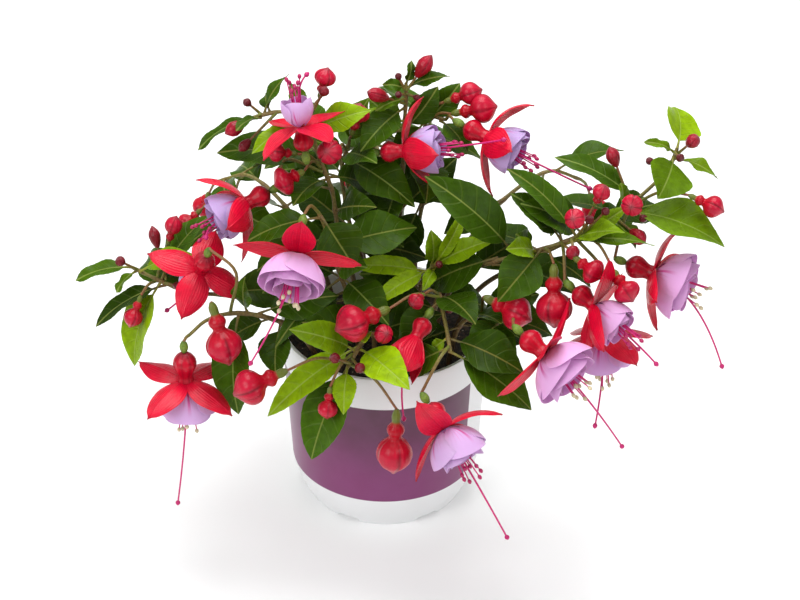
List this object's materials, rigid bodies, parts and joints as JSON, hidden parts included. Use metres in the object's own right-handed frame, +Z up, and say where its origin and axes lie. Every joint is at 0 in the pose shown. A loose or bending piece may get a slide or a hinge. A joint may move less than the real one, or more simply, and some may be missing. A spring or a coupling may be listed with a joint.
{
  "type": "potted fuchsia plant",
  "caption": "Bushy flowering plant in a small tapered plastic pot: leafy stems with hanging double flowers, round buds and long stamens.",
  "frame": {"origin": "the pot's axis at the floor; the underside's middle is 2 mm above it", "axes": "+Z up along the pot's axis, -Y towards the pictured side, +X to the right in the picture"},
  "size_m": [0.3579, 0.2607, 0.2817],
  "materials": {
    "pot": "semi-gloss white, with a printed purple band",
    "soil": "rough moist peat",
    "foliage": "satin leaves on olive stems",
    "calyx": "glossy red sepals",
    "corolla": "soft lilac petals",
    "stamens": "magenta filaments"
  },
  "bodies": {
    "root": {"pot": "pot", "soil": "soil", "bloom_main_calyx": "calyx", "bloom_main_corolla": "corolla", "bloom_main_stamens": "stamens", "bloom_upper_left_calyx": "calyx", "bloom_upper_left_corolla": "corolla", "bloom_upper_left_stamens": "stamens", "bloom_top_left_calyx": "calyx", "bloom_top_left_corolla": "corolla", "bloom_top_left_stamens": "stamens", "bloom_top_centre_calyx": "calyx", "bloom_top_centre_corolla": "corolla", "bloom_top_centre_stamens": "stamens", "bloom_top_right_calyx": "calyx", "bloom_top_right_corolla": "corolla", "bloom_top_right_stamens": "stamens", "bloom_left_back_calyx": "calyx", "bloom_left_back_corolla": "corolla", "bloom_left_back_stamens": "stamens", "bloom_lower_left_calyx": "calyx", "bloom_lower_left_corolla": "corolla", "bloom_lower_left_stamens": "stamens", "bloom_centre_calyx": "calyx", "bloom_centre_corolla": "corolla", "bloom_centre_stamens": "stamens", "bloom_front_calyx": "calyx", "bloom_front_corolla": "corolla", "bloom_front_stamens": "stamens", "bloom_right_upper_calyx": "calyx", "bloom_right_upper_corolla": "corolla", "bloom_right_upper_stamens": "stamens", "bloom_right_lower_calyx": "calyx", "bloom_right_lower_corolla": "corolla", "bloom_right_lower_stamens": "stamens", "bloom_right_edge_calyx": "calyx", "bloom_right_edge_corolla": "corolla", "bloom_right_edge_stamens": "stamens", "bloom_lower_right_calyx": "calyx", "bloom_lower_right_corolla": "corolla", "bloom_lower_right_stamens": "stamens", "shoot_left_arm": "foliage", "shoot_lower_left": "foliage", "shoot_main_left": "foliage", "shoot_left_upright": "foliage", "shoot_left_second": "foliage", "shoot_top_centre": "foliage", "shoot_top_right": "foliage", "shoot_right_arm": "foliage", "shoot_right_node": "foliage", "shoot_front_stem": "foliage", "shoot_front_cluster": "foliage", "shoot_mid_tuft": "foliage", "shoot_right_low": "foliage", "shoot_back_left": "foliage", "shoot_back_mid": "foliage", "shoot_back_right": "foliage", "shoot_crown_back": "foliage"}
  },
  "joints": []
}
